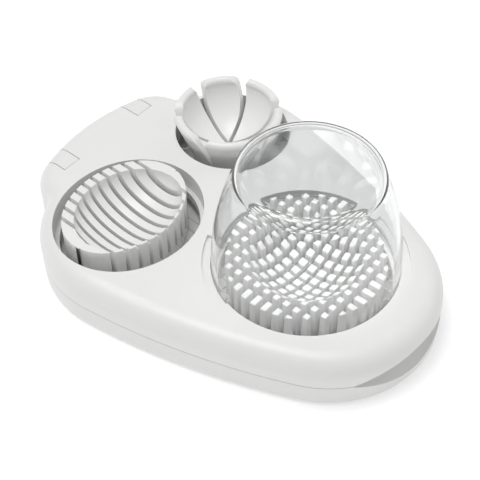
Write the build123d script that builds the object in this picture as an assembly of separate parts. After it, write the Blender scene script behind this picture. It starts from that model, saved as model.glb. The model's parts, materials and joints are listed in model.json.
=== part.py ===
"""Three-in-one egg slicer: a pear-shaped base with three egg seats and a hinged lid strung with wires.

Frame: X across the hinge, +Y towards the hinge, +Z up. The origin is on the table, in the middle of the
object's bounding box. The lid is closed. All sizes are in millimetres.
"""

from build123d import *
import math
import os

os.makedirs("parts", exist_ok=True)

# ---- driving dimensions -------------------------------------------------------------------------
# Plan outline. It is made of tangent arcs: nose, side, bulge, waist, shoulder and back, mirrored about X = 0.
LENGTH = 192.9              # from the nose to the middle of the bowed hinge edge
NOSE_R = 49.0
SIDE_R = 330.0              # the long gentle side
BULGE_R = 48.5
BULGE_X = 23.3              # centre of the bulge beside the two rear seats
BULGE_FROM_HINGE = 65.9
WAIST_R = 6.0               # concave
SHOULDER_R = 20.0
SHOULDER_X = 23.0
BACK_R = 93.3               # bow of the hinge edge

# Heights.
LID_TOP = 25.3
SEAM_Z = 11.6               # where lid and base meet
SEAM_GAP = 0.3
EDGE_R = 8.5                # round top edge of the lid, and the radius of the hinge barrel
FOOT_STAND = 0.8            # how far the rubber feet hold the base off the table
DECK_Z = 6.5                # top of the base's deck, which the seats stand on
DECK_T = 2.5
BASE_WALL = 2.4
BASE_DRAFT_R = 1.6          # small round on the base's bottom edge
LID_WALL = 2.2

# Hinge.
EAR_INNER_X = 19.2
EAR_W = 8.8
EAR_FRONT = 8.9             # from the hinge axis to the ear's front edge, at the lid's top
HINGE_GAP = 0.35            # round the ears, and between the barrel and the base
PIN_R = 1.5
PIN_FIT = 0.05              # running fit of the pin in the lid
PIN_SEAT_FIT = 0.02         # close fit of the pin in the ear
PIN_REACH = 6.0             # how far the pin goes into the lid's barrel on each side of the ear

# Finger scoop at the nose.
SCOOP_HALF_W = 31.0
SCOOP_DEPTH = 8.0
SCOOP_UP = 7.0              # half-height in the lid
SCOOP_DOWN = 6.0            # half-height in the base

# Wells: the holes of the lid, and where they stand from the nose and the centre line.
DICER_FROM_NOSE = 59.5
DICER_HOLE_R = 40.0
SLICER_X = -28.8
SLICER_FROM_DICER = 75.0
SLICER_HOLE_A = 34.7        # half-axis along X
SLICER_HOLE_B = 31.1        # half-axis along Y
WEDGER_X = 40.3
WEDGER_FROM_DICER = 75.6
WEDGER_HOLE_R = 26.2
COLLAR_T = 1.8              # wall that hangs from the rim of each hole

# Wires and their carriers, under the collars.
WIRE_R = 0.25
WIRE_Z = 12.9               # centre of the wires that run along Y
CARRIER_BOTTOM = 11.9
CARRIER_T = 4.0
CARRIER_W = 3.6             # how far a carrier reaches outside its hole
CARRIER_LIP = 2.0           # how far it reaches inside its hole; the wedger's carrier has no lip
CARRIER_WALL_GAP = 0.3      # from the lid's wall
PAD_R = 4.2                 # round pad of a carrier, and boss of the lid, at each screw
BOSS_R = 3.4
WIRE_LAYER = 0.6            # between crossing wires
WIRE_ANCHOR = 2.4           # how far a wire goes into its carrier
WIRE_END_SKIN = 0.4         # least thickness of carrier beyond a wire's end
WIRE_HOLE_FIT = 0.03
PITCH = 5.05                # between wires
CROSS_WIRE_SET = 0.15       # crosswise wires stand nearer the nose, because they rise on an arc

# Seats.
SEAT_RIM_Z = 28.9           # top of the slicer's and the dicer's seats
SLOT_FLOOR_Z = 11.2         # bottom of the slots that take the wires
SLICER_SEAT_A = 30.3
SLICER_SEAT_B = 23.3
SLICER_SEAT_SHIFT = 2.2     # the seat stands this much nearer the hinge than its hole
SLICER_WIRES = 10
SLICER_SLOT = 1.7
SLICER_BOWL_DEPTH = 12.9
SLICER_BOWL_A = 26.0        # half-axis along X
SLICER_BOWL_NOSE = 19.0     # from the lowest line to the bowl's steep edge, on the nose side
SLICER_BOWL_HINGE = 22.0    # and to its gentle edge, on the hinge side
SLICER_BOWL_SHIFT = -3.4    # of the lowest line from the seat's middle
DICER_SEAT_R = 34.2
DICER_BOWL_R = 28.0
DICER_BOWL_Z = 14.6         # lowest point of the dicer's bowl
PIN_BASE_W = 3.6            # dicer pins
PIN_TOP_W = 2.6
PIN_LEAST = 1.2             # a pin that the seat's round edge leaves thinner than this is left out
DICER_WIRES = 12
WEDGES = 6
PETAL_TOP_Z = 36.5
PETAL_TIP_R = 24.5
PETAL_FOOT_R = 17.0
PETAL_T = 3.2
PETAL_CORNER_R = 4.0
PETAL_CUP_R = 13.6          # the cup is this wide a little above its bottom
PETAL_CUP_RISE = 5.4
WEDGER_SEAT_SHIFT = 2.0     # the seat stands this much nearer the hinge than its hole
WEDGER_SLOT = 1.8
WEDGER_V_Z = 20.0           # where the slot between two petals starts to widen
WEDGER_V_HALF = 2.1         # its half-width where the petals' corners start
WEDGER_PHASE = 17.0         # degrees, the first slot's direction
WEDGER_CUP_Z = 14.8

# Dome.
DOME_FIT = 0.35
DOME_H = 52.5               # above the lid
DOME_TOP_R = 25.5           # of the flat top
DOME_T = 1.8
DOME_SINK = 3.0             # how far its edge goes into the well
LUG_REACH = 3.6
LUG_T = 1.4
POCKET_DEEP = 1.7           # of the pockets in the lid's top
LUG_GAP = 0.3               # between a lug and its pocket
LUG_WIDTH_DEG = 20.0
LUG_AT_DEG = 148.0          # and the other lug opposite
FLANGE_REACH = 1.5          # thin lead-in beside each lug
FLANGE_WIDTH_DEG = 24.0
POCKET_WIDTH_DEG = 54.0
POCKET_AT_DEG = 139.0

# Fasteners and feet.
SCREW_R = 1.45
SCREW_HEAD_R = 2.8
SCREW_HEAD_T = 1.6
SCREW_L = 6.0
SCREW_HOLE_FIT = 0.25
FOOT_R = 6.0
FOOT_T = 2.2
FOOT_NOSE_AT = (26.0, 31.0)     # from the centre line, and from the nose
FOOT_REAR_AT = (34.0, 31.0)     # from the centre line, and from the hinge edge

# ---- sizes that follow --------------------------------------------------------------------------
NOSE_Y = -LENGTH / 2
HINGE_Y = LENGTH / 2
AXIS_Y = HINGE_Y - EDGE_R
AXIS_Z = LID_TOP - EDGE_R
LID_BOTTOM = SEAM_Z + SEAM_GAP
CARRIER_TOP = CARRIER_BOTTOM + CARRIER_T
EAR_R = math.hypot(EDGE_R, EAR_FRONT)
DICER_Y = NOSE_Y + DICER_FROM_NOSE
SLICER_Y = DICER_Y + SLICER_FROM_DICER
WEDGER_Y = DICER_Y + WEDGER_FROM_DICER

# Each well: centre, half-axes of its hole, its carrier's lip, and the directions of its carrier's screws.
DICER = (0.0, DICER_Y, DICER_HOLE_R, DICER_HOLE_R, CARRIER_LIP, (30.0, 150.0, 210.0, 330.0))
SLICER = (SLICER_X, SLICER_Y, SLICER_HOLE_A, SLICER_HOLE_B, CARRIER_LIP, (70.0, 100.0, 235.0, 325.0))
WEDGER = (WEDGER_X, WEDGER_Y, WEDGER_HOLE_R, WEDGER_HOLE_R, 0.0, (100.0, 220.0, 310.0))
WELLS = (DICER, SLICER, WEDGER)

SLICER_SEAT_Y = SLICER_Y + SLICER_SEAT_SHIFT
WEDGER_SEAT_Y = WEDGER_Y + WEDGER_SEAT_SHIFT


# ---- plan outline -------------------------------------------------------------------------------
def heading(start, end):
    """Direction from one point to another, in radians."""
    return math.atan2(end[1] - start[1], end[0] - start[0])


def centre_between(c0, r0, c1, r1, side):
    """The point at r0 from c0 and r1 from c1, on the left of the line c0-c1 (side 1) or its right (-1)."""
    gap = math.dist(c0, c1)
    turn = math.acos((r0 ** 2 + gap ** 2 - r1 ** 2) / (2 * r0 * gap))
    at = heading(c0, c1) + side * turn
    return (c0[0] + r0 * math.cos(at), c0[1] + r0 * math.sin(at))


def arc(centre, radius, start, end):
    """Circular edge about a centre, the short way from one direction to another."""
    sweep = math.remainder(end - start, 2 * math.pi)
    points = [
        (centre[0] + radius * math.cos(at), centre[1] + radius * math.sin(at))
        for at in (start, start + sweep / 2, start + sweep)
    ]
    return ThreePointArc(*points)


def outline(inset):
    """Pear-shaped plan, moved inwards by inset."""
    nose = (0.0, NOSE_Y + NOSE_R)
    bulge = (BULGE_X, HINGE_Y - BULGE_FROM_HINGE)
    back = (0.0, HINGE_Y - BACK_R)
    shoulder = (SHOULDER_X, back[1] + math.sqrt((BACK_R - SHOULDER_R) ** 2 - SHOULDER_X ** 2))
    side = centre_between(nose, SIDE_R - NOSE_R, bulge, SIDE_R - BULGE_R, 1)
    waist = centre_between(bulge, BULGE_R + WAIST_R, shoulder, SHOULDER_R + WAIST_R, -1)
    right = [
        arc(nose, NOSE_R - inset, -math.pi / 2, heading(side, nose)),
        arc(side, SIDE_R - inset, heading(side, nose), heading(side, bulge)),
        arc(bulge, BULGE_R - inset, heading(side, bulge), heading(bulge, waist)),
        arc(waist, WAIST_R + inset, heading(waist, bulge), heading(waist, shoulder)),
        arc(shoulder, SHOULDER_R - inset, heading(shoulder, waist), heading(back, shoulder)),
        arc(back, BACK_R - inset, heading(back, shoulder), math.pi / 2),
    ]
    left = [mirror(edge, about=Plane.YZ) for edge in right]
    return make_face([*right, *left])


# ---- small shapes -------------------------------------------------------------------------------
def slab(inset, bottom, top):
    """The plan outline, extruded between two heights."""
    return Pos(0, 0, bottom) * extrude(outline(inset), top - bottom)


def whole_form():
    """The closed object without its seats: the plan outline with a round top edge."""
    form = slab(0.0, FOOT_STAND, LID_TOP)
    return fillet(form.faces().sort_by(Axis.Z)[-1].edges(), EDGE_R)


def post(x, y, radius, bottom, top):
    """Upright cylinder."""
    return Pos(x, y, bottom) * extrude(Circle(radius), top - bottom)


def oval(x, y, a, b, bottom, top):
    """Upright elliptical cylinder."""
    if a == b:
        return post(x, y, a, bottom, top)
    return Pos(x, y, bottom) * extrude(Ellipse(a, b), top - bottom)


def block(x, y, z):
    """Box from three (low, high) pairs."""
    size = [high - low for low, high in (x, y, z)]
    middle = [(high + low) / 2 for low, high in (x, y, z)]
    return Pos(*middle) * Box(*size)


def rod(start, end, radius):
    """Round bar between two points."""
    run = Vector(*end) - Vector(*start)
    return extrude(Plane(origin=start, z_dir=run) * Circle(radius), run.length)


def axle(radius, x0, x1):
    """Cylinder on the hinge axis."""
    return rod((x0, AXIS_Y, AXIS_Z), (x1, AXIS_Y, AXIS_Z), radius)


def sector(inner, outer, at_deg, width_deg, bottom, top):
    """Piece of a ring about the dicer's centre."""
    start = math.radians(at_deg - width_deg / 2)
    end = math.radians(at_deg + width_deg / 2)
    centre = (0.0, DICER_Y)
    rim = arc(centre, outer, start, end)
    bore = arc(centre, inner, end, start)
    plan = make_face([rim, Line(rim @ 1, bore @ 0), bore, Line(bore @ 1, rim @ 0)])
    return Pos(0, 0, bottom) * extrude(plan, top - bottom)


def screw(x, y, head_bottom):
    """Pan-head screw that points up."""
    head = post(x, y, SCREW_HEAD_R, head_bottom, head_bottom + SCREW_HEAD_T)
    shank = post(x, y, SCREW_R, head_bottom + SCREW_HEAD_T, head_bottom + SCREW_HEAD_T + SCREW_L)
    return head + shank


def scoop(extra):
    """Lens-shaped finger scoop at the nose, grown by extra on every side."""
    half = SCOOP_HALF_W + extra
    edge_y = NOSE_Y + NOSE_R - math.sqrt(NOSE_R ** 2 - SCOOP_HALF_W ** 2) + extra
    deep_y = NOSE_Y + SCOOP_DEPTH + extra
    out_y = NOSE_Y - EDGE_R
    wall = ThreePointArc((-half, edge_y), (0, deep_y), (half, edge_y))
    front = Polyline((half, edge_y), (half, out_y), (-half, out_y), (-half, edge_y))
    plan = make_face([wall, *front.edges()])
    recess = Pos(0, 0, FOOT_STAND) * extrude(plan, LID_TOP)
    over = ThreePointArc((-half, SEAM_Z), (0, SEAM_Z + SCOOP_UP + extra), (half, SEAM_Z))
    under = ThreePointArc((half, SEAM_Z), (0, SEAM_Z - SCOOP_DOWN - extra), (-half, SEAM_Z))
    lens = Pos(0, out_y, 0) * extrude(Plane.XZ * make_face([over, under]), -LENGTH / 2)
    return recess & lens


def ear_range(side, gap):
    """The stretch of X that one hinge ear takes, with a gap on both sides."""
    ends = (side * (EAR_INNER_X - gap), side * (EAR_INNER_X + EAR_W + gap))
    return (min(ends), max(ends))


def carrier_screw_places(well):
    """Where a carrier's screws stand, just outside the collar."""
    x, y, a, b, lip, directions = well
    out = COLLAR_T + SCREW_R
    turns = [math.radians(direction) for direction in directions]
    return [(x + (a + out) * math.cos(t), y + (b + out) * math.sin(t)) for t in turns]


# ---- base ---------------------------------------------------------------------------------------
def foot_places():
    """The four feet, in plan."""
    nose = (FOOT_NOSE_AT[0], NOSE_Y + FOOT_NOSE_AT[1])
    rear = (FOOT_REAR_AT[0], HINGE_Y - FOOT_REAR_AT[1])
    return {
        "foot_nose_right": nose,
        "foot_nose_left": (-nose[0], nose[1]),
        "foot_rear_right": rear,
        "foot_rear_left": (-rear[0], rear[1]),
    }


def seat_screw_places():
    """The screws under each seat, in plan."""
    reach = DICER_SEAT_R * 0.6
    spread = [math.radians(at) for at in (90.0, 210.0, 330.0)]
    return {
        "dicer": [(reach * math.cos(t), DICER_Y + reach * math.sin(t)) for t in spread],
        "slicer": [(SLICER_X + side * SLICER_SEAT_A * 0.6, SLICER_SEAT_Y) for side in (-1, 1)],
        "wedger": [(WEDGER_X + side * PETAL_FOOT_R * 0.6, WEDGER_SEAT_Y) for side in (-1, 1)],
    }


def ear(side):
    """Hinge ear: flush with the lid's top and with the hinge edge, on a neck from the deck."""
    x = ear_range(side, 0.0)
    front = axle(EAR_R, *x) & block(x, (AXIS_Y - EAR_R, AXIS_Y), (AXIS_Z - EAR_R, LID_TOP))
    neck = block(x, (AXIS_Y - EDGE_R, HINGE_Y), (DECK_Z - DECK_T, AXIS_Z))
    return (front + axle(EDGE_R, *x) + neck) & whole_form()


def base_tray():
    """Tray with a deck for the seats, hollow underneath, and the two hinge ears."""
    tray = slab(0.0, FOOT_STAND, SEAM_Z)
    tray = fillet(tray.faces().sort_by(Axis.Z)[0].edges(), BASE_DRAFT_R)
    guard = scoop(BASE_WALL)
    tray -= slab(BASE_WALL, DECK_Z, SEAM_Z + 1) - guard
    tray -= slab(BASE_WALL, FOOT_STAND - 1, DECK_Z - DECK_T) - guard
    tray -= scoop(0.0)
    reach = SHOULDER_X + SHOULDER_R
    tray -= axle(EDGE_R + HINGE_GAP, -reach, reach)
    for side in (-1, 1):
        tray += ear(side)
    for x, y in foot_places().values():
        tray += post(x, y, FOOT_R, FOOT_T, DECK_Z - DECK_T)
    for places in seat_screw_places().values():
        for x, y in places:
            tray -= post(x, y, SCREW_R + SCREW_HOLE_FIT, DECK_Z - DECK_T - 1, DECK_Z + 1)
    for side in (-1, 1):
        tray -= axle(PIN_R + PIN_SEAT_FIT, *ear_range(side, 1.0))
    return tray


def thread_holes(places):
    """Close holes for the seat screws' ends."""
    top = DECK_Z - DECK_T + SCREW_L + PIN_SEAT_FIT
    return [post(x, y, SCREW_R + PIN_SEAT_FIT, DECK_Z - 1, top) for x, y in places]


def slicer_seat():
    """Egg-shaped cradle of slats, with a slot for each wire."""
    seat = oval(SLICER_X, SLICER_SEAT_Y, SLICER_SEAT_A, SLICER_SEAT_B, DECK_Z, SEAT_RIM_Z)
    low_y = SLICER_SEAT_Y + SLICER_BOWL_SHIFT
    ball = Sphere(1.0)
    for reach, half in ((SLICER_BOWL_NOSE, (-2, 0)), (SLICER_BOWL_HINGE, (0, 2))):
        dish = scale(ball & block((-2, 2), half, (-2, 2)), (SLICER_BOWL_A, reach, SLICER_BOWL_DEPTH))
        seat -= Pos(SLICER_X, low_y, SEAT_RIM_Z) * dish
    for n in range(SLICER_WIRES):
        x = SLICER_X + (n - (SLICER_WIRES - 1) / 2) * PITCH
        reach = (SLICER_SEAT_Y - LENGTH / 2, SLICER_SEAT_Y + LENGTH / 2)
        seat -= block((x - SLICER_SLOT / 2, x + SLICER_SLOT / 2), reach, (SLOT_FLOOR_Z, LID_TOP + EDGE_R))
    return seat - thread_holes(seat_screw_places()["slicer"])


def dicer_groove():
    """One tapered groove between two rows of pins, along X, about the dicer's centre."""
    foot = (PITCH - PIN_BASE_W) / 2
    slope = (PIN_BASE_W - PIN_TOP_W) / 2 / (SEAT_RIM_Z - SLOT_FLOOR_Z)
    top = SEAT_RIM_Z + 1
    lip = foot + slope * (top - SLOT_FLOOR_Z)
    points = ((-foot, SLOT_FLOOR_Z), (foot, SLOT_FLOOR_Z), (lip, top), (-lip, top), (-foot, SLOT_FLOOR_Z))
    profile = Plane.YZ * make_face(Polyline(*points).edges())
    return extrude(profile, DICER_SEAT_R + 1, both=True)


def thin_pins():
    """The pins that the seat's round edge leaves too thin: the corner of each one's cell, from the centre."""
    places = []
    steps = range(1, DICER_WIRES // 2 + 1)
    for i in steps:
        for j in steps:
            nearest = math.hypot(i * PITCH - PIN_BASE_W / 2, j * PITCH - PIN_BASE_W / 2)
            if DICER_SEAT_R - PIN_LEAST < nearest < DICER_SEAT_R:
                x, y = (i - 0.5) * PITCH, (j - 0.5) * PITCH
                places += [(x, y), (-x, y), (x, -y), (-x, -y)]
    return places


def dicer_seat():
    """Round field of square pins with a bowl sunk in their tops."""
    seat = post(0, DICER_Y, DICER_SEAT_R, DECK_Z, SEAT_RIM_Z)
    seat -= Pos(0, DICER_Y, DICER_BOWL_Z + DICER_BOWL_R) * Sphere(DICER_BOWL_R)
    groove = dicer_groove()
    for n in range(DICER_WIRES):
        out = (n - (DICER_WIRES - 1) / 2) * PITCH
        seat -= [Pos(0, DICER_Y + out, 0) * groove, Pos(out, DICER_Y, 0) * Rot(0, 0, 90) * groove]
    for over, up in thin_pins():
        x = sorted((over, math.copysign(DICER_SEAT_R + 1, over)))
        y = sorted((DICER_Y + up, DICER_Y + math.copysign(DICER_SEAT_R + 1, up)))
        seat -= block(x, y, (SLOT_FLOOR_Z, SEAT_RIM_Z + 1))
    return seat - thread_holes(seat_screw_places()["dicer"])


def wire_lean(z):
    """How far the wedger's wires stand nearer the hinge at a height, because they swing on an arc."""
    reach = AXIS_Y - WEDGER_SEAT_Y
    swing = math.hypot(reach, AXIS_Z - WIRE_Z)
    return reach - math.sqrt(swing ** 2 - (z - AXIS_Z) ** 2)


def petal_gap(angle):
    """The slot of one wedger wire, about the seat's centre: upright, leaning with the wire, wider upwards."""
    half = WEDGER_SLOT / 2
    corner_z = PETAL_TOP_Z - PETAL_CORNER_R
    middle_z = (WEDGER_V_Z + corner_z) / 2
    steps = (
        (half, SLOT_FLOOR_Z),
        (half, WEDGER_V_Z),
        ((half + WEDGER_V_HALF) / 2, middle_z),
        (WEDGER_V_HALF, corner_z),
        (WEDGER_V_HALF + PETAL_CORNER_R * 0.13, PETAL_TOP_Z - PETAL_CORNER_R * 0.5),
        (WEDGER_V_HALF + PETAL_CORNER_R * 0.5, PETAL_TOP_Z - PETAL_CORNER_R * 0.13),
        (WEDGER_V_HALF + PETAL_CORNER_R, PETAL_TOP_Z + PIN_FIT),
    )
    leans = [-math.cos(angle) * wire_lean(z) for _, z in steps]
    right = [(lean + out, z) for lean, (out, z) in zip(leans, steps)]
    left = [(lean - out, z) for lean, (out, z) in zip(leans, steps)]
    plan = make_face(Polyline(*right, *reversed(left), right[0]).edges())
    gap = extrude(Plane.XZ * plan, PETAL_TIP_R + 2, both=True)
    return Rot(0, 0, math.degrees(angle) - 90) * gap


def wedger_seat():
    """Cup of petals that stands taller than the lid, parted by the wires' slots."""
    wall = PETAL_TOP_Z - PETAL_T
    lip_r = PETAL_TIP_R - PETAL_T
    outside = Polyline((0, DECK_Z), (PETAL_FOOT_R, DECK_Z), (PETAL_FOOT_R, SLOT_FLOOR_Z), (PETAL_TIP_R, wall))
    tip = ThreePointArc((PETAL_TIP_R, wall), (PETAL_TIP_R - PETAL_T / 2, PETAL_TOP_Z), (lip_r, wall))
    inside = ThreePointArc((lip_r, wall), (PETAL_CUP_R, WEDGER_CUP_Z + PETAL_CUP_RISE), (0, WEDGER_CUP_Z))
    middle = Line((0, WEDGER_CUP_Z), (0, DECK_Z))
    profile = Plane.XZ * make_face([*outside.edges(), tip, inside, middle])
    seat = revolve(profile, Axis.Z)
    for n in range(WEDGES // 2):
        seat -= petal_gap(math.radians(WEDGER_PHASE + n * 360 / WEDGES))
    return Pos(WEDGER_X, WEDGER_SEAT_Y, 0) * seat - thread_holes(seat_screw_places()["wedger"])


def seat_screws(kind):
    """The screws that hold one seat, from under the deck."""
    places = seat_screw_places()[kind]
    return [screw(x, y, DECK_Z - DECK_T - SCREW_HEAD_T) for x, y in places]


# ---- lid ----------------------------------------------------------------------------------------
def cutting_lid():
    """Shell with three wells, hinge barrel, and bosses for the wire carriers."""
    form = whole_form()
    far = LENGTH / 2
    solid = form & block((-far, far), (-far, far), (LID_BOTTOM, LID_TOP))
    hollow = slab(LID_WALL, LID_BOTTOM - 1, LID_TOP - LID_WALL)
    hollow = fillet(hollow.faces().sort_by(Axis.Z)[-1].edges(), EDGE_R - LID_WALL)
    lid = solid - scoop(0.0) - (hollow - scoop(LID_WALL))

    inner = post(0, DICER_Y, DICER_HOLE_R + LUG_REACH + LID_WALL, LID_TOP - POCKET_DEEP - LID_WALL, LID_TOP)
    for well in WELLS:
        x, y, a, b, lip, directions = well
        inner += oval(x, y, a + COLLAR_T, b + COLLAR_T, CARRIER_TOP, LID_TOP)
        for px, py in carrier_screw_places(well):
            inner += post(px, py, BOSS_R, CARRIER_TOP, LID_TOP - LID_WALL / 2)
    lid += inner & solid

    reach = EAR_INNER_X + EAR_W + PIN_REACH + BOSS_R / 2
    lid += axle(EDGE_R, -reach, reach) & form

    behind = block((-far, far), (AXIS_Y, HINGE_Y + 1), (0, AXIS_Z))
    lid -= behind - axle(EDGE_R, -far, far)
    for side in (-1, 1):
        x = ear_range(side, HINGE_GAP)
        lid -= axle(EAR_R + HINGE_GAP, *x)
        lid -= block(x, (AXIS_Y, HINGE_Y + 1), (0, LID_TOP + 1))
        lid -= axle(PIN_R + PIN_FIT, *ear_range(side, PIN_REACH + PIN_FIT))

    for well in WELLS:
        x, y, a, b, lip, directions = well
        lid -= oval(x, y, a, b, LID_BOTTOM - 1, LID_TOP + 1)
        for px, py in carrier_screw_places(well):
            top = CARRIER_BOTTOM + SCREW_HEAD_T + SCREW_L + PIN_SEAT_FIT
            lid -= post(px, py, SCREW_R + PIN_SEAT_FIT, CARRIER_TOP - 1, top)
    for turn in (0.0, 180.0):
        lid -= sector(
            DICER_HOLE_R - 1, DICER_HOLE_R + LUG_REACH, POCKET_AT_DEG + turn, POCKET_WIDTH_DEG,
            LID_TOP - POCKET_DEEP, LID_TOP + 1,
        )
    return lid


def carrier(well, wires):
    """Ring under a well that holds its wires, with a counterbored pad at each screw."""
    x, y, a, b, lip, directions = well
    ring = oval(x, y, a + CARRIER_W, b + CARRIER_W, CARRIER_BOTTOM, CARRIER_TOP)
    for px, py in carrier_screw_places(well):
        ring += post(px, py, PAD_R, CARRIER_BOTTOM, CARRIER_TOP)
    ring &= slab(LID_WALL + CARRIER_WALL_GAP, CARRIER_BOTTOM - 1, CARRIER_TOP + 1)
    ring -= oval(x, y, a - lip, b - lip, CARRIER_BOTTOM - 1, CARRIER_TOP + 1)
    for px, py in carrier_screw_places(well):
        head_top = CARRIER_BOTTOM + SCREW_HEAD_T
        ring -= post(px, py, SCREW_HEAD_R + SCREW_HOLE_FIT, CARRIER_BOTTOM - 1, head_top)
        ring -= post(px, py, SCREW_R + SCREW_HOLE_FIT, CARRIER_BOTTOM, CARRIER_TOP + 1)
    for hole in strung(wires, WIRE_R + WIRE_HOLE_FIT):
        ring -= hole
    return ring


def carrier_screws(well):
    """The screws of one carrier."""
    return [screw(x, y, CARRIER_BOTTOM) for x, y in carrier_screw_places(well)]


def chord(well, offset, angle, z):
    """Ends of a wire across a well: at an offset from its centre, in a direction, at a height."""
    x, y, a, b, lip, directions = well
    along = (math.cos(angle), math.sin(angle))
    across = (-along[1], along[0])
    a -= lip
    b -= lip
    u = (along[0] / a, along[1] / b)
    v = (across[0] * offset / a, across[1] * offset / b)
    uu = u[0] ** 2 + u[1] ** 2
    uv = u[0] * v[0] + u[1] * v[1]
    vv = v[0] ** 2 + v[1] ** 2
    root = math.sqrt(uv ** 2 - uu * (vv - 1))
    ends = ((-uv - root) / uu - WIRE_ANCHOR, (-uv + root) / uu + WIRE_ANCHOR)
    return [
        (x + across[0] * offset + along[0] * t, y + across[1] * offset + along[1] * t, z) for t in ends
    ]


def slicer_wires():
    """Ends of the slicer's wires, which run along Y."""
    offsets = [(n - (SLICER_WIRES - 1) / 2) * PITCH for n in range(SLICER_WIRES)]
    return [chord(SLICER, offset, math.pi / 2, WIRE_Z) for offset in offsets]


def dicer_wires(angle, z, shift):
    """Ends of one layer of the dicer's wires."""
    offsets = [(n - (DICER_WIRES - 1) / 2) * PITCH for n in range(DICER_WIRES)]
    return [chord(DICER, offset + shift, angle, z) for offset in offsets]


def wedger_wires():
    """Ends of the wedger's wires, which cross one above the other over the seat's centre."""
    wires = []
    for n in range(WEDGES // 2):
        angle = math.radians(WEDGER_PHASE + n * 360 / WEDGES)
        offset = WEDGER_SEAT_SHIFT * math.cos(angle)
        wires.append(chord(WEDGER, offset, angle, WIRE_Z + n * WIRE_LAYER))
    return wires


def strung(wires, radius=WIRE_R):
    """Round wires, or their holes, which stop short of the carriers' outer edge beside the lid's wall."""
    inset = LID_WALL + CARRIER_WALL_GAP + WIRE_END_SKIN
    room = slab(inset, CARRIER_BOTTOM - 1, CARRIER_TOP)
    return [rod(start, end, radius) & room for start, end in wires]


# ---- dome ---------------------------------------------------------------------------------------
def bell(inset, bottom, top):
    """Solid bell about the dicer's centre, moved inwards by inset."""
    foot = DICER_HOLE_R - DOME_FIT - inset
    rim = DOME_TOP_R - inset
    rise = top - LID_TOP
    steps = ((0.0, 0.0), (0.117, 0.38), (0.467, 0.762), (0.687, 0.924), (1.0, 1.0))
    points = [(foot - inwards * (foot - rim), LID_TOP + up * rise) for inwards, up in steps]
    flank = Spline(*points, tangents=((0, 1), (-1, 0.1)))
    rest = Polyline((rim, top), (0, top), (0, bottom), (foot, bottom), (foot, LID_TOP))
    profile = Plane.XZ * make_face([flank, *rest.edges()])
    return Pos(0, DICER_Y, 0) * revolve(profile, Axis.Z)


def dome():
    """Clear bell over the dicer, with two lugs that drop into the lid's pockets."""
    bottom = LID_TOP - DOME_SINK
    top = LID_TOP + DOME_H
    skirt = DICER_HOLE_R - DOME_FIT
    shell = bell(0.0, bottom, top)
    for turn in (0.0, 180.0):
        lug_bottom = LID_TOP - POCKET_DEEP + LUG_GAP
        lug_top = lug_bottom + LUG_T
        shell += sector(
            skirt - DOME_T, DICER_HOLE_R + LUG_REACH - LUG_GAP, LUG_AT_DEG + turn, LUG_WIDTH_DEG,
            lug_bottom, lug_top,
        )
        beside = LUG_AT_DEG - (LUG_WIDTH_DEG + FLANGE_WIDTH_DEG) / 2
        shell += sector(
            skirt - DOME_T, DICER_HOLE_R + FLANGE_REACH, beside + turn, FLANGE_WIDTH_DEG, lug_bottom, lug_top
        )
    return shell - bell(DOME_T, bottom - 1, top - DOME_T)


# ---- pieces -------------------------------------------------------------------------------------
def hinge_pin(side):
    """Pin through one ear, into the lid's barrel on both sides of it."""
    return axle(PIN_R, *ear_range(side, PIN_REACH))


def pieces():
    """Every piece by name. A list is a group of like pieces."""
    lengthwise = dicer_wires(math.pi / 2, WIRE_Z, 0.0)
    crosswise = dicer_wires(0.0, WIRE_Z + WIRE_LAYER, -CROSS_WIRE_SET)
    found = {
        "base_tray": base_tray(),
        "slicer_seat": slicer_seat(),
        "dicer_seat": dicer_seat(),
        "wedger_seat": wedger_seat(),
        "slicer_seat_screws": seat_screws("slicer"),
        "dicer_seat_screws": seat_screws("dicer"),
        "wedger_seat_screws": seat_screws("wedger"),
        "hinge_pin_left": hinge_pin(-1),
        "hinge_pin_right": hinge_pin(1),
        "cutting_lid": cutting_lid(),
        "slicer_wire_carrier": carrier(SLICER, slicer_wires()),
        "dicer_wire_carrier": carrier(DICER, lengthwise + crosswise),
        "wedger_wire_carrier": carrier(WEDGER, wedger_wires()),
        "slicer_carrier_screws": carrier_screws(SLICER),
        "dicer_carrier_screws": carrier_screws(DICER),
        "wedger_carrier_screws": carrier_screws(WEDGER),
        "slicer_wires": strung(slicer_wires()),
        "dicer_wires_lengthwise": strung(lengthwise),
        "dicer_wires_crosswise": strung(crosswise),
        "wedger_wires": strung(wedger_wires()),
        "dome": dome(),
    }
    for name, (x, y) in foot_places().items():
        found[name] = post(x, y, FOOT_R, 0.0, FOOT_T)
    return found


for name, shape in pieces().items():
    if isinstance(shape, list):
        shape = Compound(children=shape)
    export_step(shape, f"parts/{name}.step")
    print(name, len(shape.solids()), round(shape.volume, 1))
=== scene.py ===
# %% [markdown]
# # A three-in-one egg slicer in satin white plastic
#
# The slicer is a pear-shaped base with three egg seats, a hinged lid strung with wires, and a clear dome over
# the dicer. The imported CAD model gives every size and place. This lesson adds what the eye judges: soft edges
# on the mouldings, a clear dome with an even wall, materials, and a plain studio.

# %% The frame
import json
import math
import bpy
from mathutils import Matrix, Vector


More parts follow.
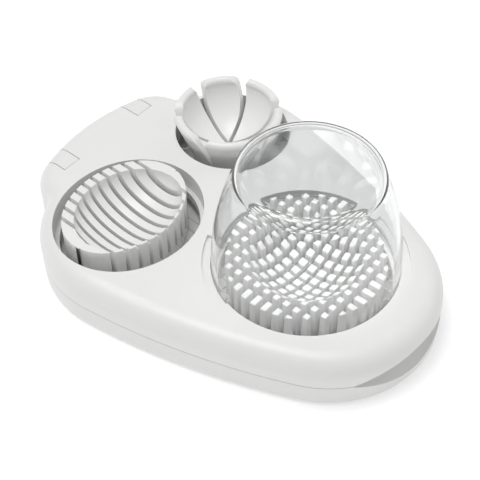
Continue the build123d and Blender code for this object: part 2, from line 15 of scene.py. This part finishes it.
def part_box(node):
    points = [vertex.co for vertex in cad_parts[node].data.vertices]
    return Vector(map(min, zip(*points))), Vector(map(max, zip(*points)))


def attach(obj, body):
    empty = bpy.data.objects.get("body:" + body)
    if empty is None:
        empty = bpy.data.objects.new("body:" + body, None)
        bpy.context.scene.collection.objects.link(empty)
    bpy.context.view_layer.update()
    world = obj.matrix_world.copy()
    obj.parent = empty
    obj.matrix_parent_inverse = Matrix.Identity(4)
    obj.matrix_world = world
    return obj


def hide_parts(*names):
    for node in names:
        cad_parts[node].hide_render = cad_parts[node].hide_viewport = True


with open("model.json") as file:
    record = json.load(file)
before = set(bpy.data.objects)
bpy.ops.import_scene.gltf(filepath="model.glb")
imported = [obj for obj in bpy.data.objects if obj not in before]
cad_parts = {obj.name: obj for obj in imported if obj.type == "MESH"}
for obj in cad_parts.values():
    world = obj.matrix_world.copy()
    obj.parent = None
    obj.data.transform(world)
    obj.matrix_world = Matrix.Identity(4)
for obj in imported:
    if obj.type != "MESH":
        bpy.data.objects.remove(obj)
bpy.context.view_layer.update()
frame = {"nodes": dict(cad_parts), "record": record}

MM = 0.001
nodes = frame["nodes"]

# %% [markdown]
# Places come from the frame. Each seat has a box, and its middle is where the seat's own pattern is centred.
# The lid's top is the height that the eye compares everything with.

# %% Places
def middle(node):
    """Middle of a node's box."""
    low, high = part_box(node)
    return Vector([(a + b) / 2 for a, b in zip(low, high)])


def size(node):
    """Size of a node's box."""
    low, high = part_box(node)
    return Vector([b - a for a, b in zip(low, high)])


LID_TOP = float(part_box("cutting_lid")[1][2])
DICER = middle("dicer_seat")
SLICER = middle("slicer_seat")
print("lid top at", round(LID_TOP / MM, 1), "mm; dicer centre", [round(v / MM, 1) for v in DICER])

# %% [markdown]
# Hex colours are written as a screen shows them. Blender's shaders want linear light, so one function turns
# one into the other. One more small function adds a shader node with its settings and links.

# %% Colour and node helpers
def linear(code):
    """sRGB hex to a linear RGBA tuple."""
    parts = [int(code[i:i + 2], 16) / 255 for i in (1, 3, 5)]
    return tuple(c / 12.92 if c <= 0.04045 else ((c + 0.055) / 1.055) ** 2.4 for c in parts) + (1.0,)


def add_node(tree, kind, inputs=None, **settings):
    """Adds a node. A value that is a socket is linked; any other is set."""
    node = tree.nodes.new(kind)
    for name, value in settings.items():
        setattr(node, name, value)
    for name, value in (inputs or {}).items():
        if isinstance(value, bpy.types.NodeSocket):
            tree.links.new(value, node.inputs[name])
        else:
            node.inputs[name].default_value = value
    return node


def new_material(name):
    """A material with an empty tree but for its output and one Principled shader."""
    material = bpy.data.materials.new(name)
    material.use_nodes = True
    tree = material.node_tree
    return material, tree, tree.nodes["Principled BSDF"]


def per_metre(millimetres):
    """Pattern scale for a feature of this size."""
    return 1.0 / (millimetres * MM)

# %% [markdown]
# Injection-moulded ABS is white right through and takes a satin finish from its spark-eroded mould: an even
# soft sheen with a very fine pebble, and slight flow clouds that change the gloss more than the colour.

# %% Satin white ABS
def satin_abs(name, colour, roughness, grain_mm=0.35, cloud_mm=22.0, grain=0.012):
    """White moulded plastic: flow clouds in its gloss and colour, and a fine pebble."""
    material, tree, shader = new_material(name)
    shader.inputs["IOR"].default_value = 1.53
    place = add_node(tree, "ShaderNodeTexCoord").outputs["Object"]
    cloud = add_node(tree, "ShaderNodeTexNoise", {"Vector": place, "Scale": per_metre(cloud_mm), "Detail": 2.0})
    gloss = add_node(tree, "ShaderNodeMapRange", {
        "Value": cloud.outputs["Fac"], "To Min": roughness - 0.04, "To Max": roughness + 0.05,
    })
    tint = add_node(tree, "ShaderNodeMix", {"Factor": cloud.outputs["Fac"]}, data_type="RGBA")
    tint.inputs[6].default_value = linear(colour)
    tint.inputs[7].default_value = tuple(c * 0.975 for c in linear(colour)[:3]) + (1.0,)
    pebble = add_node(tree, "ShaderNodeTexNoise", {
        "Vector": place, "Scale": per_metre(grain_mm), "Detail": 3.0,
    })
    bump = add_node(tree, "ShaderNodeBump", {
        "Height": pebble.outputs["Fac"], "Strength": grain * 10, "Distance": grain * MM,
    })
    tree.links.new(tint.outputs[2], shader.inputs["Base Color"])
    tree.links.new(gloss.outputs["Result"], shader.inputs["Roughness"])
    tree.links.new(bump.outputs["Normal"], shader.inputs["Normal"])
    return material


lid_abs = satin_abs("lid_satin_abs", "#EFEFEE", 0.38)
base_abs = satin_abs("base_satin_abs", "#EDEDEC", 0.42)
seat_abs = satin_abs("seat_satin_abs", "#F1F1F0", 0.34, grain_mm=0.3)
carrier_abs = satin_abs("carrier_matte_abs", "#E6E6E4", 0.55, grain_mm=0.5, grain=0.02)
print("four white plastics")

# %% [markdown]
# The dome is moulded SAN, a clear hard plastic with an index near 1.57. It is smooth, so the look comes from
# the shape of its wall; a faint waviness in the normal gives the soft streaks of a moulded clear part.

# %% Clear moulded plastic
def clear_plastic():
    """Clear plastic with a faint waviness."""
    material, tree, shader = new_material("dome_clear_san")
    shader.inputs["Base Color"].default_value = linear("#FBFCFC")
    shader.inputs["IOR"].default_value = 1.49
    shader.inputs["Transmission Weight"].default_value = 1.0
    place = add_node(tree, "ShaderNodeTexCoord").outputs["Object"]
    wave = add_node(tree, "ShaderNodeTexNoise", {"Vector": place, "Scale": per_metre(30.0), "Detail": 1.0})
    haze = add_node(tree, "ShaderNodeMapRange", {"Value": wave.outputs["Fac"], "To Min": 0.0, "To Max": 0.05})
    bump = add_node(tree, "ShaderNodeBump", {
        "Height": wave.outputs["Fac"], "Strength": 0.15, "Distance": 0.4 * MM,
    })
    tree.links.new(haze.outputs["Result"], shader.inputs["Roughness"])
    tree.links.new(bump.outputs["Normal"], shader.inputs["Normal"])
    return material


dome_san = clear_plastic()

# %% [markdown]
# Metal here is small: drawn stainless wires, ground pins and zinc-plated screws. Drawing leaves fine streaks
# along a wire and grinding leaves them round a pin, so each gets a stretched noise on its roughness.

# %% Steels and rubber
def steel(name, colour, roughness, stretch, streak_mm):
    """Steel with streaks in its gloss, stretched along the direction that it was worked in."""
    material, tree, shader = new_material(name)
    shader.inputs["Metallic"].default_value = 1.0
    shader.inputs["Base Color"].default_value = linear(colour)
    place = add_node(tree, "ShaderNodeTexCoord").outputs["Object"]
    turned = add_node(tree, "ShaderNodeMapping", {"Vector": place, "Scale": stretch})
    streak = add_node(tree, "ShaderNodeTexNoise", {
        "Vector": turned.outputs["Vector"], "Scale": per_metre(streak_mm), "Detail": 2.0,
    })
    gloss = add_node(tree, "ShaderNodeMapRange", {
        "Value": streak.outputs["Fac"], "To Min": roughness - 0.06, "To Max": roughness + 0.1,
    })
    tree.links.new(gloss.outputs["Result"], shader.inputs["Roughness"])
    return material


wire_steel = steel("drawn_stainless_wire", "#C9CBCD", 0.24, (1.0, 0.05, 1.0), 0.1)
pin_steel = steel("ground_stainless_pin", "#BFC1C3", 0.3, (0.05, 1.0, 1.0), 0.2)
screw_zinc = steel("zinc_plated_screw", "#C5C8CC", 0.28, (1.0, 1.0, 1.0), 0.8)


def rubber():
    """Dull moulded rubber."""
    material, tree, shader = new_material("foot_moulded_rubber")
    shader.inputs["Base Color"].default_value = linear("#B9B9B6")
    place = add_node(tree, "ShaderNodeTexCoord").outputs["Object"]
    bloom = add_node(tree, "ShaderNodeTexNoise", {"Vector": place, "Scale": per_metre(1.2), "Detail": 4.0})
    dull = add_node(tree, "ShaderNodeMapRange", {"Value": bloom.outputs["Fac"], "To Min": 0.6, "To Max": 0.85})
    bump = add_node(tree, "ShaderNodeBump", {
        "Height": bloom.outputs["Fac"], "Strength": 0.3, "Distance": 0.05 * MM,
    })
    tree.links.new(dull.outputs["Result"], shader.inputs["Roughness"])
    tree.links.new(bump.outputs["Normal"], shader.inputs["Normal"])
    return material


foot_rubber = rubber()

# %% [markdown]
# Every CAD node gets the material of what it is made of, by its material slot in the record.

# %% Dress the CAD nodes
finish_of_slot = {
    "white_plastic": lid_abs,
    "seat_plastic": seat_abs,
    "carrier_plastic": carrier_abs,
    "screw_steel": screw_zinc,
    "pin_steel": pin_steel,
    "wire_steel": wire_steel,
    "foot_rubber": foot_rubber,
    "dome_clear": dome_san,
}
for part in frame["record"]["subparts"]:
    thing = nodes[part["node"]]
    thing.data.materials.clear()
    thing.data.materials.append(finish_of_slot[part["material_slot"]])
nodes["base_tray"].data.materials[0] = base_abs
print(len(nodes), "CAD nodes dressed")

# %% [markdown]
# ## Helpers for new pieces
#
# A piece starts from one of Blender's primitives, and everything is deselected first so that the CAD nodes are
# left alone. A round edge is a Bevel modifier, applied once the shape is done: moulded plastic never has a
# sharp edge, and the small round is what catches a line of light.

# %% Piece helpers
def deselect():
    """Object mode with nothing selected."""
    if bpy.context.object and bpy.context.object.mode == "EDIT":
        bpy.ops.object.mode_set(mode="OBJECT")
    bpy.ops.object.select_all(action="DESELECT")


def soften(piece, width_mm, segments=2, angle=40.0):
    """Rounds the piece's sharp edges and shades it smooth up to that angle."""
    deselect()
    bpy.context.view_layer.objects.active = piece
    piece.select_set(True)
    bevel = piece.modifiers.new("moulded_round", "BEVEL")
    bevel.width = width_mm * MM
    bevel.segments = segments
    bevel.limit_method = "ANGLE"
    bevel.angle_limit = math.radians(angle)
    bevel.use_clamp_overlap = True
    bevel.harden_normals = False
    bpy.ops.object.modifier_apply(modifier=bevel.name)
    bpy.ops.object.shade_smooth_by_angle(angle=math.radians(angle))


def close_up(piece, merge_mm=0.01):
    """Merges points that meet and turns every face outwards."""
    deselect()
    bpy.context.view_layer.objects.active = piece
    piece.select_set(True)
    bpy.ops.object.mode_set(mode="EDIT")
    bpy.ops.mesh.select_all(action="SELECT")
    bpy.ops.mesh.remove_doubles(threshold=merge_mm * MM)
    bpy.ops.mesh.normals_make_consistent(inside=False)
    bpy.ops.object.mode_set(mode="OBJECT")


def join(name, parts):
    """Joins parts into one named piece at the origin."""
    deselect()
    for part in parts:
        part.select_set(True)
    bpy.context.view_layer.objects.active = parts[0]
    bpy.ops.object.join()
    piece = bpy.context.object
    piece.name = name
    bpy.ops.object.transform_apply(location=True, rotation=True, scale=True)
    return piece


def seat_piece(piece, node, material):
    """Finishes a seat: material, slot, body, and the CAD node that it stands for."""
    piece.data.materials.clear()
    piece.data.materials.append(material)
    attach(piece, "base")
    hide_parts(node)
    print(piece.name, "has", len(piece.data.polygons), "faces")


def shaped_grid(name, across, along, place):
    """Grid of across x along cells; place(u, v) gives each point, with u and v from 0 to 1."""
    deselect()
    bpy.ops.mesh.primitive_grid_add(x_subdivisions=across, y_subdivisions=along, size=1.0)
    grid = bpy.context.object
    grid.name = name
    for point in grid.data.vertices:
        point.co = place(point.co.x + 0.5, point.co.y + 0.5)
    return grid


def drop_to(piece, height):
    """Extrudes a surface straight down to a height, which closes it into a solid."""
    deselect()
    bpy.context.view_layer.objects.active = piece
    piece.select_set(True)
    bpy.ops.object.mode_set(mode="EDIT")
    bpy.ops.mesh.select_all(action="SELECT")
    bpy.ops.mesh.extrude_region_move(TRANSFORM_OT_translate={"value": (0, 0, -MM)})
    bpy.ops.transform.resize(value=(1, 1, 0), center_override=(0, 0, height))
    bpy.ops.object.mode_set(mode="OBJECT")
    close_up(piece)


def disc(name, centre, a, b, bottom, top, around=72):
    """Elliptical plate with vertical sides."""
    deselect()
    bpy.ops.mesh.primitive_cylinder_add(
        vertices=around, radius=1.0, depth=1.0, location=(centre.x, centre.y, (bottom + top) / 2),
    )
    plate = bpy.context.object
    plate.name = name
    plate.scale = (a, b, top - bottom)
    bpy.ops.object.transform_apply(location=True, rotation=True, scale=True)
    return plate


PITCH = 5.05 * MM
SLOT_FLOOR = 11.2 * MM
ROOT = 0.3 * MM              # how far pins and slats are sunk into their plate
PLATE_BOTTOM = float(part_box("dicer_seat")[0][2])

# %% [markdown]
# ## Dicer seat
#
# A field of square pins stands between the two layers of wires. Each pin tapers a little, and its top is cut
# by one big ball, so the tops make a bowl for the egg. The outermost pins reach out to the round edge as short
# plates. One cube is added for each pin, its four base and four top corners are put in place, and one bevel
# rounds them all.

# %% Dicer pins
DICER_R = size("dicer_seat").x / 2
DICER_RIM = float(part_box("dicer_seat")[1][2])
BALL_R = 28.0 * MM
BALL_LOW = 14.6 * MM
PIN_FOOT = 3.6 * MM
PIN_TIP = 2.6 * MM
LAST = 6                     # pins on each side of the middle one
PIN_LEAST = 1.2 * MM


def bowl_height(x, y):
    """Height of the dicer's ball surface, at most the rim."""
    reach = BALL_R ** 2 - x * x - y * y
    if reach <= 0:
        return DICER_RIM
    return min(DICER_RIM, BALL_LOW + BALL_R - math.sqrt(reach))


def pin_corner(i, j, side_x, side_y, width):
    """One corner of a pin, pulled in to the seat's round edge."""
    x = i * PITCH + side_x * width / 2
    y = j * PITCH + side_y * width / 2
    if abs(i) == LAST and side_x * i > 0:
        x = math.copysign(math.sqrt(DICER_R ** 2 - y * y), x)
    if abs(j) == LAST and side_y * j > 0:
        y = math.copysign(math.sqrt(DICER_R ** 2 - x * x), y)
    out = math.hypot(x, y)
    shrink = min(1.0, DICER_R / out) if out > 0 else 1.0
    return x * shrink, y * shrink


def pin_width(height):
    """The pin's width at a height."""
    share = (height - SLOT_FLOOR) / (DICER_RIM - SLOT_FLOOR)
    return PIN_FOOT + (PIN_TIP - PIN_FOOT) * share


def shape_pin(cube, i, j):
    """Moves a cube's eight corners to the pin at column i and row j."""
    for corner in cube:
        side_x = math.copysign(1, corner.co.x - i * PITCH)
        side_y = math.copysign(1, corner.co.y - j * PITCH)
        if corner.co.z > 0:
            x, y = pin_corner(i, j, side_x, side_y, PIN_TIP)
            height = bowl_height(x, y)
            x, y = pin_corner(i, j, side_x, side_y, pin_width(height))
        else:
            x, y = pin_corner(i, j, side_x, side_y, PIN_FOOT)
            height = SLOT_FLOOR - ROOT
        corner.co = (DICER.x + x, DICER.y + y, height)


def has_room(i, j):
    """Whether the pin's nearest corner lies well inside the seat's round edge."""
    near_x = max(0.0, abs(i) * PITCH - PIN_FOOT / 2)
    near_y = max(0.0, abs(j) * PITCH - PIN_FOOT / 2)
    return math.hypot(near_x, near_y) < DICER_R - PIN_LEAST


steps = range(-LAST, LAST + 1)
cells = [(i, j) for i in steps for j in steps if has_room(i, j)]
deselect()
bpy.ops.mesh.primitive_cube_add(size=MM)
pins = bpy.context.object
bpy.ops.object.mode_set(mode="EDIT")
bpy.ops.mesh.select_all(action="SELECT")
bpy.ops.mesh.delete(type="VERT")
for i, j in cells:
    bpy.ops.mesh.primitive_cube_add(size=MM, location=(i * PITCH, j * PITCH, 0))
bpy.ops.object.mode_set(mode="OBJECT")
corners = list(pins.data.vertices)
for n, (i, j) in enumerate(cells):
    shape_pin(corners[8 * n:8 * n + 8], i, j)
close_up(pins)
soften(pins, 0.42, segments=3)
dicer_plate = disc("dicer_plate", DICER, DICER_R, DICER_R, PLATE_BOTTOM, SLOT_FLOOR, around=96)
soften(dicer_plate, 0.5)
dicer_seat = join("dicer_pin_field", [pins, dicer_plate])
seat_piece(dicer_seat, "dicer_seat", seat_abs)

# %% [markdown]
# ## Slicer seat
#
# The cradle is a row of thin slats with a solid piece at each end, all cut from one oval block by a hollow
# that is steep towards the nose and gentle towards the hinge. Each slat starts as a grid seen from above. Its
# rows lie on the hollow's edge, so the crease stays crisp, and the grid is then dropped to the seat's plate.

# %% Slicer slats
SEAT_A = size("slicer_seat").x / 2
SEAT_B = size("slicer_seat").y / 2
SEAT_RIM = float(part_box("slicer_seat")[1][2])
HOLLOW_A = 26.0 * MM
HOLLOW_NOSE = 19.0 * MM
HOLLOW_HINGE = 22.0 * MM
HOLLOW_DEPTH = 12.9 * MM
HOLLOW_SHIFT = -3.4 * MM
SLOTS = 10
SLOT_W = 1.7 * MM
RIM_SHARE = 0.12            # of a slat's rows, at each end, that lie on its flat rim
BOWL_SHARE = 0.5 - RIM_SHARE
BOWL_ROWS = 12
ROWS = (0.0, RIM_SHARE / 2, RIM_SHARE)
ROWS = ROWS + tuple(RIM_SHARE + BOWL_SHARE * n / BOWL_ROWS for n in range(1, BOWL_ROWS + 1))
ROWS = ROWS + tuple(1 - row for row in reversed(ROWS[:-1]))


def slat_point(x, v):
    """Point of the cradle's top at x, a share v of the way from its nose edge to its hinge edge."""
    end = SEAT_B * math.sqrt(max(0.0, 1 - (x / SEAT_A) ** 2))
    width = math.sqrt(max(0.0, 1 - (x / HOLLOW_A) ** 2))
    if v < 0.5:
        reach, edge, share = HOLLOW_NOSE, -end, (v - RIM_SHARE) / BOWL_SHARE
    else:
        reach, edge, share = HOLLOW_HINGE, end, (1 - RIM_SHARE - v) / BOWL_SHARE
    lip = HOLLOW_SHIFT + math.copysign(reach * width, edge)
    if share < 0:
        y = lip + (edge - lip) * (-share * BOWL_SHARE / RIM_SHARE)
        return y, SEAT_RIM
    turn = share * math.pi / 2
    y = HOLLOW_SHIFT + (lip - HOLLOW_SHIFT) * math.cos(turn)
    return y, SEAT_RIM - HOLLOW_DEPTH * width * math.sin(turn)


def slat(name, x0, x1, across):
    """One slat, or a solid end of the cradle, between two places along X."""
    def place(u, v):
        x = x0 + (x1 - x0) * u
        y, z = slat_point(x, ROWS[round(v * (len(ROWS) - 1))])
        return (SLICER.x + x, SLICER.y + y, z)

    piece = shaped_grid(name, across, len(ROWS) - 1, place)
    drop_to(piece, SLOT_FLOOR - ROOT)
    return piece


slots = [(n - (SLOTS - 1) / 2) * PITCH for n in range(SLOTS)]
slats = [
    slat(f"slat_{n}", left + SLOT_W / 2, right - SLOT_W / 2, 3)
    for n, (left, right) in enumerate(zip(slots[:-1], slots[1:]))
]
END_X = SEAT_A * 0.999       # just short of the oval's point, where a row would have no length
slats.append(slat("slat_end_left", -END_X, slots[0] - SLOT_W / 2, 8))
slats.append(slat("slat_end_right", slots[-1] + SLOT_W / 2, END_X, 8))
cradle = join("slicer_slats", slats)
soften(cradle, 0.55, segments=3, angle=35.0)
slicer_plate = disc("slicer_plate", SLICER, SEAT_A, SEAT_B, PLATE_BOTTOM, SLOT_FLOOR)
soften(slicer_plate, 0.5)
slicer_seat = join("slicer_cradle", [cradle, slicer_plate])
seat_piece(slicer_seat, "slicer_seat", seat_abs)

# %% [markdown]
# ## Wedger seat
#
# Six petals rise from a cup and lean outwards, parted by slots that lean with the wires' swing. The CAD node
# has them right but with sharp edges, so a copy of it is merged, its flat faces are made whole again, and one
# bevel rounds the petals' tips and the sides of the slots.

# %% Wedger petals
def softened_copy(node, name, width_mm, segments=3, angle=38.0):
    """Copy of a CAD node with round edges. The node itself is left as it is."""
    deselect()
    source = nodes[node]
    piece = source.copy()
    piece.data = source.data.copy()
    piece.name = name
    piece.parent = None
    bpy.context.scene.collection.objects.link(piece)
    piece.matrix_world = source.matrix_world
    piece.hide_render = False
    piece.select_set(True)
    bpy.context.view_layer.objects.active = piece
    bpy.ops.object.transform_apply(location=True, rotation=True, scale=True)
    close_up(piece, merge_mm=0.02)
    bpy.ops.object.mode_set(mode="EDIT")
    bpy.ops.mesh.select_all(action="SELECT")
    bpy.ops.mesh.dissolve_limited(angle_limit=math.radians(0.5))
    bpy.ops.object.mode_set(mode="OBJECT")
    soften(piece, width_mm, segments=segments, angle=angle)
    return piece


wedger_seat = softened_copy("wedger_seat", "wedger_petals", 0.55)
seat_piece(wedger_seat, "wedger_seat", seat_abs)

# %% [markdown]
# ## Dome
#
# The dome is a clear bell with an even wall and a flat top. A ring of points at its foot is pulled up and
# scaled in, one step after another, and the top is filled. Solidify then gives it its wall, which is what
# bends the light at its edges. The two lugs of the CAD node are left out.

# %% Dome
DOME_FOOT = float(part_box("dome")[0][2])
DOME_TOP = float(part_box("dome")[1][2])
SKIRT_R = 39.65 * MM
DOME_RIM_R = 25.5 * MM
DOME_WALL = 1.8 * MM
SHOULDER_RISE = 47.5 * MM    # from the lid's top to where the dome's round shoulder starts
TAPER = 0.00413 / MM         # the dome draws in with the square of its height
FLANK_ROWS = 22
SHOULDER_ROWS = 8
AROUND = 128


def dome_profile():
    """Outer radius and height up the dome, from its foot to the start of its flat top."""
    points = [(SKIRT_R, DOME_FOOT), (SKIRT_R, LID_TOP)]
    for n in range(1, FLANK_ROWS + 1):
        rise = SHOULDER_RISE * n / FLANK_ROWS
        points.append((SKIRT_R - TAPER * rise ** 2, LID_TOP + rise))
    shoulder_r, shoulder_z = points[-1]
    for n in range(1, SHOULDER_ROWS + 1):
        turn = math.pi / 2 * n / SHOULDER_ROWS
        points.append((
            DOME_RIM_R + (shoulder_r - DOME_RIM_R) * math.cos(turn),
            shoulder_z + (DOME_TOP - shoulder_z) * math.sin(turn),
        ))
    return points


profile = dome_profile()
deselect()
bpy.ops.mesh.primitive_circle_add(
    vertices=AROUND, radius=profile[0][0], location=(DICER.x, DICER.y, DOME_FOOT),
)
bell = bpy.context.object
bell.name = "dome_bell"
bpy.ops.object.transform_apply(location=True)
bpy.ops.object.mode_set(mode="EDIT")
bpy.ops.mesh.select_all(action="SELECT")
for (r0, z0), (r1, z1) in zip(profile[:-1], profile[1:]):
    bpy.ops.mesh.extrude_region_move(TRANSFORM_OT_translate={"value": (0, 0, z1 - z0)})
    bpy.ops.transform.resize(value=(r1 / r0, r1 / r0, 1), center_override=(DICER.x, DICER.y, z1))
bpy.ops.mesh.edge_face_add()
for share in (0.035, 0.1):
    bpy.ops.mesh.inset(thickness=DOME_RIM_R * share)
bpy.ops.object.mode_set(mode="OBJECT")
close_up(bell)
wall = bell.modifiers.new("wall", "SOLIDIFY")
wall.thickness = DOME_WALL
wall.offset = -1.0
bpy.context.view_layer.objects.active = bell
bpy.ops.object.modifier_apply(modifier=wall.name)
bpy.ops.object.shade_smooth_by_angle(angle=math.radians(35))
bell.data.materials.append(dome_san)
bell.visible_shadow = False  # clear plastic lets the light of the studio through
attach(bell, "dome")
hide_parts("dome")
print("dome has", len(bell.data.polygons), "faces")

# %% [markdown]
# ## Studio
#
# A white object on white needs light that still models its form. A broad overhead panel gives the tops their
# brightness, a weaker one at the side leaves the walls a step darker, and the world fills the rest. The paper
# glows a little, and the plain view transform shows it as clean white.

# %% Studio
def panel_light(name, place, aim, width, power):
    """Square area light aimed at a point."""
    bpy.ops.object.light_add(type="AREA", location=place)
    lamp = bpy.context.object
    lamp.name = name
    lamp.data.size = width
    lamp.data.energy = power
    lamp.rotation_euler = (Vector(aim) - Vector(place)).to_track_quat("-Z", "Y").to_euler()
    return lamp


PAPER_GLOW = 0.28            # lifts the paper from light grey to white

deselect()
bpy.ops.mesh.primitive_plane_add(size=6.0)
floor = bpy.context.object
floor.name = "studio_floor"
floor_material, _, floor_shader = new_material("studio_paper")
floor_shader.inputs["Base Color"].default_value = (0.9, 0.9, 0.9, 1.0)
floor_shader.inputs["Roughness"].default_value = 0.9
floor_shader.inputs["Emission Color"].default_value = (1.0, 1.0, 1.0, 1.0)
floor_shader.inputs["Emission Strength"].default_value = PAPER_GLOW
floor.data.materials.append(floor_material)

panel_light("overhead_panel", (-0.1, 0.15, 0.9), (0, 0, 0), 0.5, 4.2)
panel_light("side_panel", (0.8, -0.3, 0.5), (0, 0, 0.02), 0.6, 0.8)

world = bpy.data.worlds.new("studio_world")
world.use_nodes = True
world.node_tree.nodes["Background"].inputs["Color"].default_value = (1.0, 1.0, 1.0, 1.0)
world.node_tree.nodes["Background"].inputs["Strength"].default_value = 0.45
bpy.context.scene.world = world
bpy.context.scene.view_settings.view_transform = "Standard"

# %% [markdown]
# The camera looks down on the slicer from its front left, from about half a metre, through a long lens.

# %% Camera
AZIMUTH = math.radians(-48.74)
ELEVATION = math.radians(48.28)
ROLL = math.radians(-0.95)
EYE = Vector((-0.2468, -0.2171, 0.3791))

back = Vector((
    math.sin(AZIMUTH) * math.cos(ELEVATION), -math.cos(AZIMUTH) * math.cos(ELEVATION), math.sin(ELEVATION),
))
right = Vector((math.cos(AZIMUTH), math.sin(AZIMUTH), 0.0))
up = back.cross(right)
right, up = (
    right * math.cos(ROLL) + up * math.sin(ROLL),
    up * math.cos(ROLL) - right * math.sin(ROLL),
)
bpy.ops.object.camera_add()
camera = bpy.context.object
camera.name = "product_camera"
camera.matrix_world = Matrix((right, up, back)).transposed().to_4x4()
camera.location = EYE
camera.data.sensor_width = 36.0
camera.data.lens = 84.0
bpy.context.scene.camera = camera
print("camera", [round(v, 3) for v in camera.location])
